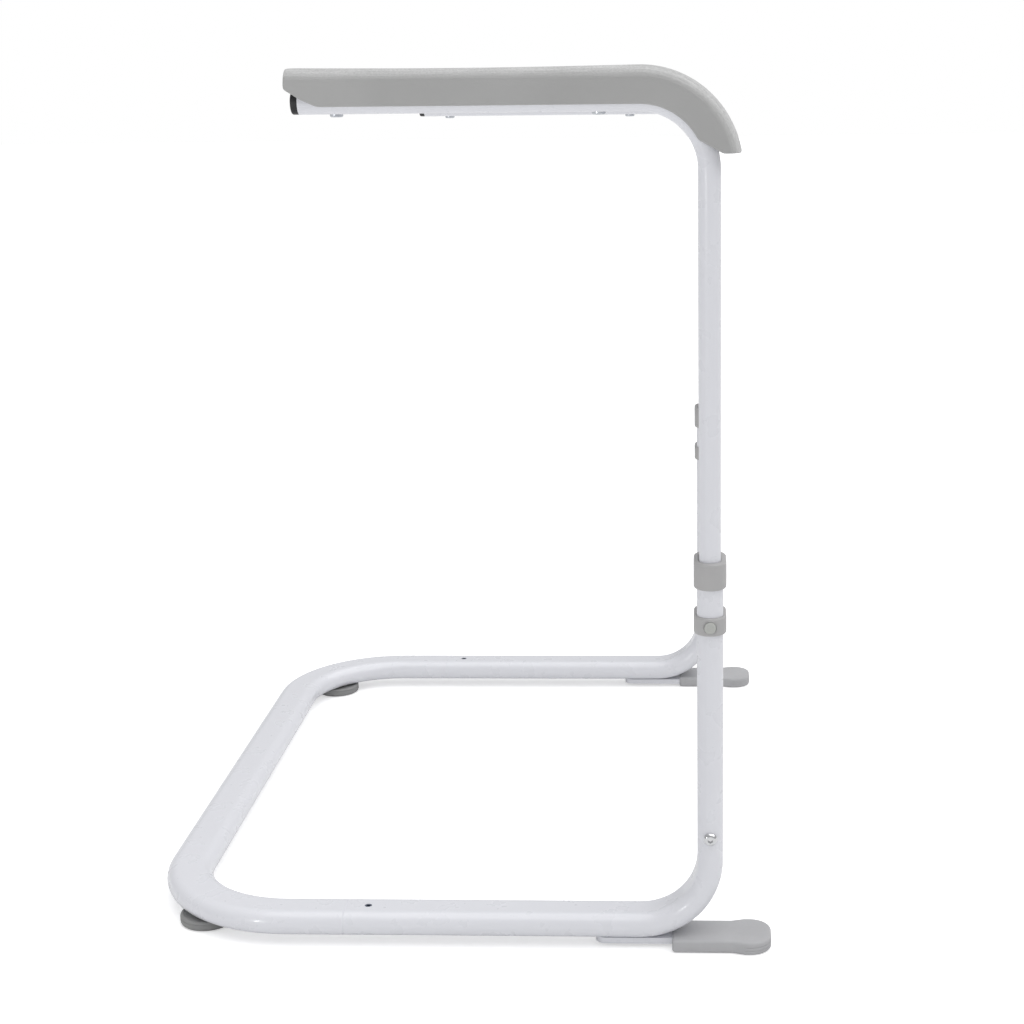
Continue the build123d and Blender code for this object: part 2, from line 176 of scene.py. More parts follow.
def noise_at(finish, place, scale, detail=3.0, stretch=(1, 1, 1)):
    """Noise over a place, with so many waves to the metre."""
    links = finish.node_tree.links
    mapping = add_node(finish, "ShaderNodeMapping", Scale=stretch)
    noise = add_node(finish, "ShaderNodeTexNoise", Scale=scale, Detail=detail)
    links.new(place, mapping.inputs["Vector"])
    links.new(mapping.outputs["Vector"], noise.inputs["Vector"])
    return noise.outputs["Fac"]


def noise_on(finish, scale, detail=3.0, stretch=(1, 1, 1)):
    """Noise over the piece's own place."""
    place = add_node(finish, "ShaderNodeTexCoord")
    return noise_at(finish, place.outputs["Object"], scale, detail, stretch)


def ramp_between(finish, factor, low, high, span=(0.35, 0.65)):
    """Goes from one number or colour to another while a factor crosses a span."""
    ramp = add_node(finish, "ShaderNodeValToRGB")
    for stop, place, value in zip(ramp.color_ramp.elements, span, (low, high)):
        stop.position = place
        stop.color = (*value, 1) if hasattr(value, "__len__") else (value, value, value, 1)
    finish.node_tree.links.new(factor, ramp.inputs["Fac"])
    return ramp.outputs["Color"]


def spread_between(finish, factor, low, high, socket):
    """Runs a shader socket between two numbers or colours as the noise goes up."""
    spread = ramp_between(finish, factor, low, high)
    finish.node_tree.links.new(spread, shader_of(finish).inputs[socket])


def raise_grain(finish, *layers):
    """Bumps the surface by one or more (noise, depth in metres) layers."""
    links = finish.node_tree.links
    normal = None
    for height, depth in layers:
        bump = add_node(finish, "ShaderNodeBump", Strength=1.0, Distance=depth)
        links.new(height, bump.inputs["Height"])
        if normal:
            links.new(normal, bump.inputs["Normal"])
        normal = bump.outputs["Normal"]
    links.new(normal, shader_of(finish).inputs["Normal"])


print("a finish has a shader, a soft noise and a grain")

# %% [markdown]
# ## Gloss white powder coat
# Powder is baked on the steel and flows out into a thick glossy film that is never
# quite flat. The colour is a cool white that hardly varies, and the gloss changes a
# little from place to place. The orange peel is waves about 3 mm long, so shallow that
# they only soften a reflection.

# %% Powder coat
PEEL_DEPTH = 3e-7


def make_powder_coat():
    finish = start_finish("white powder coat", 0.3)
    shader = shader_of(finish)
    shader.inputs["Coat Weight"].default_value = 0.35
    shader.inputs["Coat Roughness"].default_value = 0.08
    darker, lighter = (0.798, 0.804, 0.844), (0.804, 0.81, 0.85)
    spread_between(finish, noise_on(finish, 9), darker, lighter, "Base Color")
    spread_between(finish, noise_on(finish, 60, 4), 0.27, 0.29, "Roughness")
    raise_grain(finish, (noise_on(finish, 330, 2), PEEL_DEPTH))
    return finish


powder_coat = make_powder_coat()
print("made", powder_coat.name)

# %% [markdown]
# ## Grey mouldings
# The collars, buttons, boots and discs are moulded, each in a slightly different grey.
# A tool has a spark texture that leaves a fine matt grain, and the plastic shows faint
# flow marks. Rubber is rougher and takes up some dust.

# %% Moulded plastics and rubbers
FLOW_DEPTH = 0.00006


def make_moulding(name, darker, lighter, gloss, grain_scale, grain_depth):
    finish = start_finish(name, gloss, specular=0.4)
    spread_between(finish, noise_on(finish, 30, 5), darker, lighter, "Base Color")
    spread_between(finish, noise_on(finish, 400, 4), gloss - 0.05, gloss + 0.07, "Roughness")
    grain = noise_on(finish, grain_scale, 3)
    raise_grain(finish, (noise_on(finish, 90, 2), FLOW_DEPTH), (grain, grain_depth))
    return finish


collar_plastic = make_moulding(
    "grey collar plastic", (0.455, 0.45, 0.45), (0.485, 0.48, 0.475), 0.42, 2400, 0.00003
)
button_plastic = make_moulding(
    "pale button plastic", (0.48, 0.49, 0.465), (0.52, 0.525, 0.50), 0.36, 2400, 0.00002
)
black_plastic = make_moulding(
    "black end cap plastic", (0.02, 0.02, 0.022), (0.035, 0.035, 0.038), 0.38, 2200, 0.00003
)
boot_rubber = make_moulding(
    "grey boot rubber", (0.455, 0.455, 0.465), (0.50, 0.50, 0.51), 0.56, 1800, 0.00004
)
disc_rubber = make_moulding(
    "dark disc rubber", (0.275, 0.275, 0.275), (0.315, 0.315, 0.31), 0.6, 1800, 0.00004
)
mouldings = (collar_plastic, button_plastic, black_plastic, boot_rubber, disc_rubber)
print("made", [finish.name for finish in mouldings])

# %% [markdown]
# ## Pad skin
# The pad is foam moulded with its own skin. The tool leaves the sides satin smooth and
# the upper band pebbled and finely lined, so that a hand doesn't slip. The band is painted
# lighter towards the top, as painted light from above, and light specks are painted along
# its lines and pebbles as painted highlights. The pattern has to follow the arm round its
# bend, so the pad's mesh will carry an attribute that says how far along, across and over
# the arm each point lies, and one finish reads it.

# %% Pad skin
BAND_STARTS = (0.0139, 0.0166)  # heights over the arm's centreline
# painted top light: between these heights over the centreline the colour turns lighter, to the band grey
PAINTED_TOP_LIGHT_SPAN = (0.0150, 0.0240)
SIDE_GREYS = ((0.41, 0.41, 0.405), (0.44, 0.44, 0.435))
# the band grey is lighter than the sides, and its light specks along the lines and pebbles are painted
# highlights over the real grain
BAND_GREYS_AND_PAINTED_HIGHLIGHTS = ((0.51, 0.51, 0.505), (0.72, 0.72, 0.715))
LINES = (28, 900, 900)  # waves to the metre along, across and over the arm
PEBBLE = (620, 1000, 1000)
SKIN_GRAIN_DEPTH = 0.00003
BAND_GRAIN_DEPTH = 0.0006


def maths(finish, operation, *values):
    node = finish.node_tree.nodes.new("ShaderNodeMath")
    node.operation = operation
    for socket, value in zip(node.inputs, values):
        if isinstance(value, (int, float)):
            socket.default_value = value
        else:
            finish.node_tree.links.new(value, socket)
    return node.outputs[0]


def fade_over(finish, value, span):
    """Goes smoothly from 0 to 1 while a value crosses a span."""
    fade = finish.node_tree.nodes.new("ShaderNodeMapRange")
    fade.interpolation_type = "SMOOTHSTEP"
    finish.node_tree.links.new(value, fade.inputs["Value"])
    fade.inputs["From Min"].default_value, fade.inputs["From Max"].default_value = span
    return fade.outputs["Result"]


def make_pad_skin():
    finish = start_finish("grained pad skin", 0.5, specular=0.35)
    links = finish.node_tree.links
    place = add_node(finish, "ShaderNodeAttribute")
    place.attribute_name = "skin_place"
    parts = add_node(finish, "ShaderNodeSeparateXYZ")
    links.new(place.outputs["Vector"], parts.inputs[0])
    over_arm = parts.outputs["Z"]
    lines = noise_at(finish, place.outputs["Vector"], 1, 2, LINES)
    pebble = noise_at(finish, place.outputs["Vector"], 1, 3, PEBBLE)
    both = maths(finish, "MULTIPLY", maths(finish, "ADD", lines, pebble), 0.5)
    mix = add_node(finish, "ShaderNodeMix")
    mix.data_type = "RGBA"
    # painted top light: the colour turns to the band grey with height over the arm
    links.new(fade_over(finish, over_arm, PAINTED_TOP_LIGHT_SPAN), mix.inputs["Factor"])
    links.new(ramp_between(finish, noise_on(finish, 14, 5), *SIDE_GREYS), mix.inputs["A"])
    # painted highlights: the band grey is lightest along the lines and pebbles
    links.new(ramp_between(finish, both, *BAND_GREYS_AND_PAINTED_HIGHLIGHTS, span=(0.38, 0.62)), mix.inputs["B"])
    links.new(mix.outputs["Result"], shader_of(finish).inputs["Base Color"])
    spread_between(finish, noise_on(finish, 260, 4), 0.46, 0.56, "Roughness")
    band_grain = maths(finish, "MULTIPLY", both, fade_over(finish, over_arm, BAND_STARTS))
    skin_grain = noise_on(finish, 1900, 2)
    raise_grain(finish, (skin_grain, SKIN_GRAIN_DEPTH), (band_grain, BAND_GRAIN_DEPTH))
    return finish


pad_skin = make_pad_skin()
print("made", pad_skin.name)

# %% [markdown]
# ## Bare metals
# The post's bolt is polished chrome, the screws are zinc plated with a faint blue cast,
# and the hidden steel is plain. Fine scratches that run along one way break up the gloss.

# %% Metals
def make_metal(name, darker, lighter, gloss, scratch_depth):
    finish = start_finish(name, gloss, metallic=1.0)
    spread_between(finish, noise_on(finish, 200, 4), darker, lighter, "Base Color")
    spread_between(finish, noise_on(finish, 500, 5), gloss * 0.7, gloss * 1.4, "Roughness")
    raise_grain(finish, (noise_on(finish, 900, 3, stretch=(1, 1, 6)), scratch_depth))
    return finish


chrome = make_metal("polished chrome", (0.72, 0.73, 0.74), (0.8, 0.8, 0.81), 0.08, 0.000002)
zinc = make_metal("zinc plating", (0.5, 0.52, 0.56), (0.64, 0.66, 0.69), 0.3, 0.000008)
dark_zinc = make_metal("blued screw steel", (0.1, 0.12, 0.17), (0.17, 0.2, 0.26), 0.34, 0.000008)
plain_steel = make_metal("plain steel", (0.36, 0.37, 0.38), (0.46, 0.47, 0.48), 0.38, 0.00001)
print("made", [m.name for m in (chrome, zinc, dark_zinc, plain_steel)])

# %% [markdown]
# ## Paint the CAD pieces that stay
# The tubes, brackets and hidden metal have their right shape already, so they only take
# a finish. A piece that is made again later hides its CAD node, and the finish given
# here stands behind it.

# %% Give each CAD node its finish
CAD_FINISHES = {
    "base_u_tube": powder_coat,
    "side_frame": powder_coat,
    "foot_bracket": powder_coat,
    "arm_tube": powder_coat,
    "joint_sleeve": plain_steel,
    "joint_screw": dark_zinc,
    "corner_foot_screw": zinc,
    "stop_block": collar_plastic,
    "lock_pin": zinc,
    "button_spring": plain_steel,
    "arm_glide_plug": black_plastic,
    "pad_insert": plain_steel,
    "pad_screws": zinc,
    "post_bolt": chrome,
    "stop_nut": zinc,
    "foot_boot": boot_rubber,
    "corner_foot": disc_rubber,
    "lock_collar": collar_plastic,
    "lock_button": button_plastic,
    "top_bush": collar_plastic,
    "arm_end_cap": black_plastic,
    "arm_pad": pad_skin,
}


def paint(piece, finish):
    piece.data.materials.clear()
    piece.data.materials.append(finish)


for node_name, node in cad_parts.items():
    base_name = node_name.removesuffix("_right").removesuffix("_left")
    paint(node, CAD_FINISHES[base_name])
print("painted", len(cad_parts), "CAD nodes")

# %% [markdown]
# ## Working by hand in code
# A modeller selects a piece, goes into edit mode, selects some faces and moves or
# extrudes them. These helpers do the same: `shaping` is the time spent in edit mode, and
# `pick` selects what lies in a place.

# %% Selecting and shaping
def only(piece):
    bpy.ops.object.select_all(action="DESELECT")
    piece.select_set(True)
    bpy.context.view_layer.objects.active = piece


@contextmanager
def shaping(piece):
    only(piece)
    bpy.ops.object.mode_set(mode="EDIT")
    bpy.ops.mesh.select_all(action="DESELECT")
    yield
    bpy.ops.object.mode_set(mode="OBJECT")


def middle(part):
    corners = [part] if isinstance(part, bmesh.types.BMVert) else part.verts
    return sum((v.co for v in corners), Vector()) / len(corners)


def pick(kind, test):
    """Selects the vertices, edges or faces that pass the test."""
    bpy.ops.mesh.select_mode(type=kind)
    bpy.ops.mesh.select_all(action="DESELECT")
    mesh = bpy.context.edit_object.data
    cage = bmesh.from_edit_mesh(mesh)
    parts = {"VERT": cage.verts, "EDGE": cage.edges, "FACE": cage.faces}[kind]
    for part in [part for part in parts if test(part)]:
        part.select_set(True)
    cage.select_flush_mode()
    bmesh.update_edit_mesh(mesh)


def pick_all():
    bpy.ops.mesh.select_all(action="SELECT")


def extrude(move):
    bpy.ops.mesh.extrude_region_move(TRANSFORM_OT_translate={"value": move})


def face_outwards(piece):
    with shaping(piece):
        pick_all()
        bpy.ops.mesh.remove_doubles(threshold=1e-6)
        bpy.ops.mesh.normals_make_consistent(inside=False)


def apply_modifier(piece, kind, **settings):
    only(piece)
    modifier = piece.modifiers.new(kind.lower(), kind)
    for name, value in settings.items():
        setattr(modifier, name, value)
    bpy.ops.object.modifier_apply(modifier=modifier.name)


def combine(piece, other, operation):
    """Cuts another piece away, or joins it on, and throws the other one away."""
    apply_modifier(piece, "BOOLEAN", object=other, operation=operation, solver="EXACT")
    bpy.data.objects.remove(other)


def smooth(piece, degrees=35):
    only(piece)
    bpy.ops.object.shade_smooth_by_angle(angle=radians(degrees))


def settle(piece):
    """Puts a piece's place, turn and scale into its mesh."""
    only(piece)
    bpy.ops.object.transform_apply(location=True, rotation=True, scale=True)


def start_piece(name):
    """Names the new primitive and settles it."""
    piece = bpy.context.object
    piece.name = name
    settle(piece)
    return piece


def mirrored_copy(piece, name, lower):
    """The other side's piece, with its own mesh, mirrored across the rail's middle."""
    only(piece)
    bpy.ops.object.duplicate(linked=False)
    copy = bpy.context.object
    copy.name = name
    copy.scale = (1, -1, 1)
    copy.location = (0, 0, -lower)
    settle(copy)
    with shaping(copy):
        pick_all()
        bpy.ops.mesh.normals_make_consistent(inside=False)
    smooth(copy)
    return copy


def size_of(piece):
    return [round(x * 1000, 1) for x in piece.dimensions]


LEFT_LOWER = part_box("arm_tube_right")[1].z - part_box("arm_tube_left")[1].z
print("the left arm is stored", round(LEFT_LOWER * 1000, 1), "mm lower")

# %% [markdown]
# ## Flat-oval, round and turned starts
# Most pieces here follow the flat-oval tube or a round pin. A flat oval is a cylinder
# whose two halves are moved apart. A turned piece is a circle that is extruded ring by
# ring through its outline. Each start is added at its true size and place.

# %% Flat-oval, round and turned pieces
ROUND_CORNERS = 64
TINY = 1e-5


def upright_oval(name, centre, thickness, width, low, high):
    """Flat-oval bar between two heights, its wide way along Y."""
    place = (centre[0], centre[1], (low + high) / 2)
    bpy.ops.mesh.primitive_cylinder_add(
        vertices=ROUND_CORNERS, radius=thickness / 2, depth=high - low, location=place
    )
    piece = start_piece(name)
    spread = (width - thickness) / 2
    with shaping(piece):
        for way in (-1, 1):
            pick("VERT", lambda v: way * (v.co.y - centre[1]) > TINY)
            bpy.ops.transform.translate(value=(0, way * spread, 0))
    return piece


def bar_along_y(name, x, z, radius, near, far, corners=ROUND_CORNERS):
    """Round bar along Y between two places."""
    place, turn = (x, (near + far) / 2, z), (radians(90), 0, 0)
    bpy.ops.mesh.primitive_cylinder_add(
        vertices=corners, radius=radius, depth=far - near, location=place, rotation=turn
    )
    return start_piece(name)


def turned(name, axis, centre, steps, corners=ROUND_CORNERS):
    """A piece turned to a list of (place along its axis, radius), closed at both ends."""
    axis, centre = Vector(axis), Vector(centre)
    (place, radius), *later = steps
    start, turn = centre + axis * place, (radians(90) * axis.y, 0, 0)
    bpy.ops.mesh.primitive_circle_add(
        vertices=corners, radius=radius, fill_type="NGON", location=start, rotation=turn
    )
    piece = start_piece(name)
    with shaping(piece):
        pick_all()
        for next_place, next_radius in later:
            extrude(axis * (next_place - place))
            growth = [1 if way else next_radius / radius for way in axis]
            bpy.ops.transform.resize(value=growth, center_override=centre + axis * next_place)
            place, radius = next_place, next_radius
    face_outwards(piece)
    return piece


def at_height(*levels):
    """A test for parts whose middle lies at one of these heights."""
    return lambda part: min(abs(middle(part).z - level) for level in levels) < TINY


def at_depth(level):
    """A test for parts whose middle lies at this place along Y."""
    return lambda part: abs(middle(part).y - level) < TINY


def round_edges(test, offset, segments):
    pick("EDGE", test)
    bpy.ops.mesh.bevel(offset=offset, segments=segments, affect="EDGES", clamp_overlap=True)


def dish(steps, inwards):
    """Draws the picked face in ring by ring and sinks it, by (inset, sink)."""
    for inset, sink in steps:
        bpy.ops.mesh.inset(thickness=inset, depth=0)
        bpy.ops.transform.translate(value=Vector(inwards) * sink)


print("a round has", ROUND_CORNERS, "corners")

# %% [markdown]
# ## The two collars on the post
# The upper collar is a plastic bush over the post's open end. The arm tube slides in it.
# The lower collar holds the push button. Each is moulded, so its rims are well rounded
# and its mouth is widened a little where it meets the tube. A boolean modifier cuts the
# post's room out of a rounded oval, as a core does in the moulding tool.

# %% Where the post stands
bush_low, bush_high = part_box("top_bush_right")
POST = ((bush_low.x + bush_high.x) / 2, (bush_low.y + bush_high.y) / 2)
tube_low, tube_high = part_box("side_frame_right")
POST_T = 2 * (tube_high.x - POST[0])
POST_W = tube_high.y - tube_low.y
ARM_T, ARM_W = 0.0164, 0.0344
COLLAR_ROUND = 0.002
TOP_MOUTH = 0.0008  # chamfers at the collars' mouths
LOCK_MOUTH = 0.0001
SLIP = 0.0001
PAST = 0.002  # a cutter goes past the face that it opens
print("post at", [round(x, 4) for x in POST], "section", round(POST_T, 4), round(POST_W, 4))


# %% Top collar
def rounded_collar(name, low, high):
    piece = upright_oval(name, POST, high.x - low.x, bush_high.y - bush_low.y, low.z, high.z)
    with shaping(piece):
        round_edges(at_height(low.z, high.z), COLLAR_ROUND, 6)
    return piece


def post_room(low, high):
    return upright_oval("post room", POST, POST_T + 2 * SLIP, POST_W + 2 * SLIP, low, high)


def widen_mouth(piece, z, thickness, width, by):
    """Chamfers the rim of the hole at one height."""
    half_x, half_y = thickness / 2 + 2 * SLIP, width / 2 + 2 * SLIP

    def on_rim(edge):
        place = middle(edge)
        near = abs(place.x - POST[0]) < half_x and abs(place.y - POST[1]) < half_y
        return near and all(abs(v.co.z - z) < TINY for v in edge.verts)

    with shaping(piece):
        round_edges(on_rim, by, 2)


def make_top_collar():
    low, high = bush_low, bush_high
    mouth_t, mouth_w = ARM_T + 6 * SLIP, ARM_W + 6 * SLIP
    piece = rounded_collar("top_collar_right", low, high)
    combine(piece, post_room(low.z - PAST, tube_high.z), "DIFFERENCE")
    arm_room = upright_oval("arm room", POST, mouth_t, mouth_w, low.z - PAST, high.z + PAST)
    combine(piece, arm_room, "DIFFERENCE")
    widen_mouth(piece, high.z, mouth_t, mouth_w, TOP_MOUTH)
    smooth(piece)
    return piece


top_collar_right = make_top_collar()
print("top collar", size_of(top_collar_right))

# %% [markdown]
# ## Lock collar and button
# The lower collar carries a raised bezel on its outer face, and the button sits in it.
# The bezel is a short round bar joined on, then bored for the button. The button is a
# disc with a soft edge, dished for a fingertip.

# %% Lock collar with its bezel
button_low, button_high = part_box("lock_button_right")
BUTTON_X = (button_low.x + button_high.x) / 2
BUTTON_Z = (button_low.z + button_high.z) / 2
BUTTON_R = (button_high.x - button_low.x) / 2
BEZEL_R = 0.0055
BEZEL_ROUND = 0.0004
BORE_R = BUTTON_R + 0.0003


def make_lock_collar():
    low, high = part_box("lock_collar_right")
    piece = rounded_collar("lock_collar_piece_right", low, high)
    bezel = bar_along_y("bezel", BUTTON_X, BUTTON_Z, BEZEL_R, low.y, POST[1])
    with shaping(bezel):
        round_edges(at_depth(low.y), BEZEL_ROUND, 4)
    combine(piece, bezel, "UNION")
    combine(piece, post_room(low.z - PAST, high.z + PAST), "DIFFERENCE")
    bore = bar_along_y("bore", BUTTON_X, BUTTON_Z, BORE_R, low.y - PAST, POST[1])
    combine(piece, bore, "DIFFERENCE")
    widen_mouth(piece, high.z, POST_T + 2 * SLIP, POST_W + 2 * SLIP, LOCK_MOUTH)
    smooth(piece)
    return piece


lock_collar_right = make_lock_collar()
print("lock collar", size_of(lock_collar_right))


# %% Button
BUTTON_ROUND = 0.0012
BUTTON_DISH = ((0.0006, 0.0), (0.0005, 0.00018), (0.0009, 0.0002), (0.001, 0.00012))


def make_button():
    near, far = button_low.y, button_high.y
    piece = bar_along_y("push_button_right", BUTTON_X, BUTTON_Z, BUTTON_R, near, far)
    with shaping(piece):
        round_edges(at_depth(near), BUTTON_ROUND, 6)
        pick("FACE", at_depth(near))
        dish(BUTTON_DISH, (0, 1, 0))
    smooth(piece, 50)
    return piece


push_button_right = make_button()
print("button", size_of(push_button_right))

# %% [markdown]
# ## Button spring
# Two turns of fine wire push the button out again. A small circle and the Screw
# modifier make the coil, and its two open ends are filled. The wire has to flatten as
# the button goes in, but this piece keeps its shape.

# %% Spring
spring_low, spring_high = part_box("button_spring_right")
WIRE_R = 0.00025
COIL_R = (spring_high.x - spring_low.x) / 2 - WIRE_R
SPRING_TURNS = 2
WIRE_CORNERS = 10
SPRING_STEPS = 96


def make_spring():
    height = spring_high.y - spring_low.y - 2 * WIRE_R
    bpy.ops.mesh.primitive_circle_add(vertices=WIRE_CORNERS, radius=WIRE_R, location=(COIL_R, 0, 0))
    piece = start_piece("coil_spring_right")
    apply_modifier(
        piece, "SCREW", axis="Y", angle=2 * pi * SPRING_TURNS, screw_offset=height,
        steps=SPRING_STEPS, render_steps=SPRING_STEPS, use_merge_vertices=True, merge_threshold=1e-6,
    )
    with shaping(piece):
        pick_all()
        bpy.ops.mesh.fill_holes(sides=0)
    piece.location = (BUTTON_X, spring_low.y + WIRE_R, BUTTON_Z)
    settle(piece)
    face_outwards(piece)
    smooth(piece)
    return piece


spring_right = make_spring()
print("spring", size_of(spring_right))

# %% [markdown]
# ## Bolt and nut
# A button-head bolt crosses the post near the floor and holds a stop inside. Its head is
# a turned dome with a hexagonal socket, and its thread shows beyond the nut. The head
# and thread are drawn out of one round bar by extruding rings, each a little wider or
# narrower than the last, and a six-sided cutter makes the socket.

# %% Bolt
bolt_low, bolt_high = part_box("post_bolt_right")
BOLT_Z = (bolt_low.z + bolt_high.z) / 2
HEAD_R = (bolt_high.x - bolt_low.x) / 2
HEAD_H = tube_low.y - bolt_low.y
SHANK_R = 0.003
THREAD_PITCH = 0.001
THREAD_ROOT = 0.86  # of the shank's radius
THREAD_STARTS = POST[1] + POST_W / 2 + 0.004
HEAD_FLAT_R = 0.0026
SOCKET_R = 0.0023
SOCKET_DEEP = 0.002
BOLT_CHAMFER = 0.0004


def make_bolt():
    face = tube_low.y
    dome = []
    for turn in range(88, -1, -8):
        height, reach = HEAD_H * sin(radians(turn)), (HEAD_R - HEAD_FLAT_R) * cos(radians(turn))
        dome.append((face - height, HEAD_FLAT_R + reach))
    rings, y = [], THREAD_STARTS
    while y < bolt_high.y - THREAD_PITCH:
        rings += [(y, SHANK_R), (y + THREAD_PITCH * 0.5, SHANK_R * THREAD_ROOT)]
        y += THREAD_PITCH
    end = [(bolt_high.y - BOLT_CHAMFER, SHANK_R), (bolt_high.y, SHANK_R - BOLT_CHAMFER)]
    steps = [*dome, (face, HEAD_R), (face + TINY, SHANK_R), *rings, *end]
    piece = turned("post_bolt_piece_right", (0, 1, 0), (POST[0], 0, BOLT_Z), steps)
    near, far = bolt_low.y - PAST, bolt_low.y + SOCKET_DEEP
    socket = bar_along_y("socket", POST[0], BOLT_Z, SOCKET_R, near, far, corners=6)
    combine(piece, socket, "DIFFERENCE")
    smooth(piece, 30)
    return piece


post_bolt_right = make_bolt()
print("bolt", size_of(post_bolt_right))


# %% Nut
NUT_NEAR = ((-0.0001, 0.0056), (0.0008, 0.0064))  # place from its near face, radius
NUT_FAR = ((-0.0012, 0.0064), (-0.0002, 0.0052), (0.0001, 0.0050))  # from its far face


def make_nut():
    low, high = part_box("stop_nut_right")
    corner_r = (high.z - low.z) / 2
    piece = bar_along_y("stop_nut_piece_right", POST[0], BOLT_Z, corner_r, low.y, high.y, corners=6)
    steps = [(low.y + y, r) for y, r in NUT_NEAR] + [(high.y + y, r) for y, r in NUT_FAR]
    dome = turned("dome", (0, 1, 0), (POST[0], 0, BOLT_Z), steps)
    combine(piece, dome, "INTERSECT")
    hole = bar_along_y("hole", POST[0], BOLT_Z, SHANK_R + SLIP, low.y - PAST, high.y + PAST)
    combine(piece, hole, "DIFFERENCE")
    smooth(piece, 30)
    return piece


stop_nut_right = make_nut()
print("nut", size_of(stop_nut_right))

# %% [markdown]
# ## Rubber boot
# A boot is pulled over the bracket's free end. It is narrow at the tube and wide at the
# tip, with every edge well rounded and two fine parting lines round its tip. A block is
# cut into slices, the slices are drawn in to the neck, and the corners and rims are
# bevelled. The bracket's room is cut out last.

# %% Boot
boot_low, boot_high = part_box("foot_boot_right")
plate_low, plate_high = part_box("foot_bracket_right")
NECK_SHARE = 38 / 44
BOOT_TIP_R = 0.0165
BOOT_NECK_R = 0.003
BOOT_ROUND = 0.0022
NECK_ENDS = POST[0] + 0.017
TIP_STARTS = POST[0] + 0.027
HALF_WAY = (NECK_ENDS + TIP_STARTS) / 2
PARTING_LINES = ((0.0036, 0.0041), (0.0062, 0.0067))
PARTING_DEPTH = 0.00025


def slice_at(place, across):
    """Cuts new edges where a plane crosses the piece."""
    pick_all()
    bpy.ops.mesh.bisect(plane_co=place, plane_no=across)


def rise(edge):
    return abs(edge.verts[0].co.z - edge.verts[1].co.z)


def corner_at(x):
    """A test for the block's upright edges at one of its ends."""
    return lambda edge: rise(edge) > boot_high.z / 2 and abs(middle(edge).x - x) < TINY


def on_boot_rim(edge):
    level = rise(edge) < TINY and at_height(boot_low.z, boot_high.z)(edge)
    return level and any(abs(face.normal.z) < 0.5 for face in edge.link_faces)


def on_parting_line(face):
    place = middle(face)
    inside = any(low < place.z < high for low, high in PARTING_LINES)
    return inside and abs(face.normal.z) < 0.3 and place.x > TIP_STARTS


def make_boot():
    centre = (boot_low + boot_high) / 2
    bpy.ops.mesh.primitive_cube_add(size=1, location=centre, scale=boot_high - boot_low)
    piece = start_piece("boot_right")
    with shaping(piece):
        round_edges(corner_at(boot_high.x), BOOT_TIP_R, 12)
        round_edges(corner_at(boot_low.x), BOOT_NECK_R, 4)
        for x in (NECK_ENDS - 0.008, NECK_ENDS, HALF_WAY, TIP_STARTS, TIP_STARTS + 0.004):
            slice_at((x, 0, 0), (1, 0, 0))
        done_to = -1.0
        for x, share in ((NECK_ENDS, NECK_SHARE), (HALF_WAY, (1 + NECK_SHARE) / 2)):
            pick("VERT", lambda v: done_to < v.co.x < x + TINY)
            bpy.ops.transform.resize(value=(1, share, 1), center_override=centre)
            done_to = x + TINY
        round_edges(on_boot_rim, BOOT_ROUND, 6)
        for line in PARTING_LINES:
            for z in line:
                slice_at((0, 0, z), (0, 0, 1))
        pick("FACE", on_parting_line)
        bpy.ops.mesh.extrude_region_shrink_fatten(TRANSFORM_OT_shrink_fatten={"value": -PARTING_DEPTH})
    plate_centre, plate_size = (plate_low + plate_high) / 2, plate_high - plate_low
    bpy.ops.mesh.primitive_cube_add(size=1, location=plate_centre, scale=plate_size)
    combine(piece, start_piece("plate room"), "DIFFERENCE")
    smooth(piece, 40)
    return piece


boot_right = make_boot()
print("boot", size_of(boot_right))

# %% [markdown]
# ## Disc feet
# A round rubber foot is screwed under each corner of the U. It is a turned shape: a
# rounded foot, a side wall that leans out slightly, a raised lip and a shallow dish
# inside it. One circle is extruded up through the rings of that outline.

# %% Disc foot
disc_low, disc_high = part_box("corner_foot_right")
screw_low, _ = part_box("corner_foot_screw_right")
DISC = ((disc_low.x + disc_high.x) / 2, (disc_low.y + disc_high.y) / 2, 0)
DISC_R = (disc_high.x - disc_low.x) / 2
DISC_WALL = (  # height, and how far inside the full radius
    (0.0, 0.0022), (0.0003, 0.0012), (0.0010, 0.0005), (0.0020, 0.0001), (0.0028, 0.0),
    (0.0054, 0.0), (0.0056, 0.0003), (0.0060, 0.0003), (0.0062, 0.0), (0.0070, 0.0002),
)
DISC_LIP = ((-0.0003, 0.0007), (0.0, 0.0014))  # the same, from the disc's top
DISC_DISH = ((0.0012, 0.0), (0.0006, 0.0005), (0.0015, 0.0001))
HEAD_ROOM_R, SCREW_HEAD_H = 0.00505, 0.003
SHANK_ROOM_R = 0.0026


def make_disc():
    top, up = disc_high.z, (0, 0, 1)
    rings = [*DISC_WALL, *((top + z, inside) for z, inside in DISC_LIP)]
    piece = turned("disc_foot_right", up, DISC, [(z, DISC_R - inside) for z, inside in rings], 96)
    with shaping(piece):
        pick("FACE", at_height(top))
        dish(DISC_DISH, (0, 0, -1))
    head_top = screw_low.z + SCREW_HEAD_H
    for radius, room_top in ((HEAD_ROOM_R, head_top), (SHANK_ROOM_R, top + PAST)):
        room = turned("screw room", up, DISC, [(-PAST, radius), (room_top, radius)], 48)
        combine(piece, room, "DIFFERENCE")
    smooth(piece)
    return piece


disc_foot_right = make_disc()
print("disc", size_of(disc_foot_right))

# %% [markdown]
# ## Where the arm runs
# The arm tube leaves the post upright, bends through almost a right angle and rises
# very slightly towards its free end. The end cap and the pad follow it, so these
# values say where its centreline runs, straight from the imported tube's box.

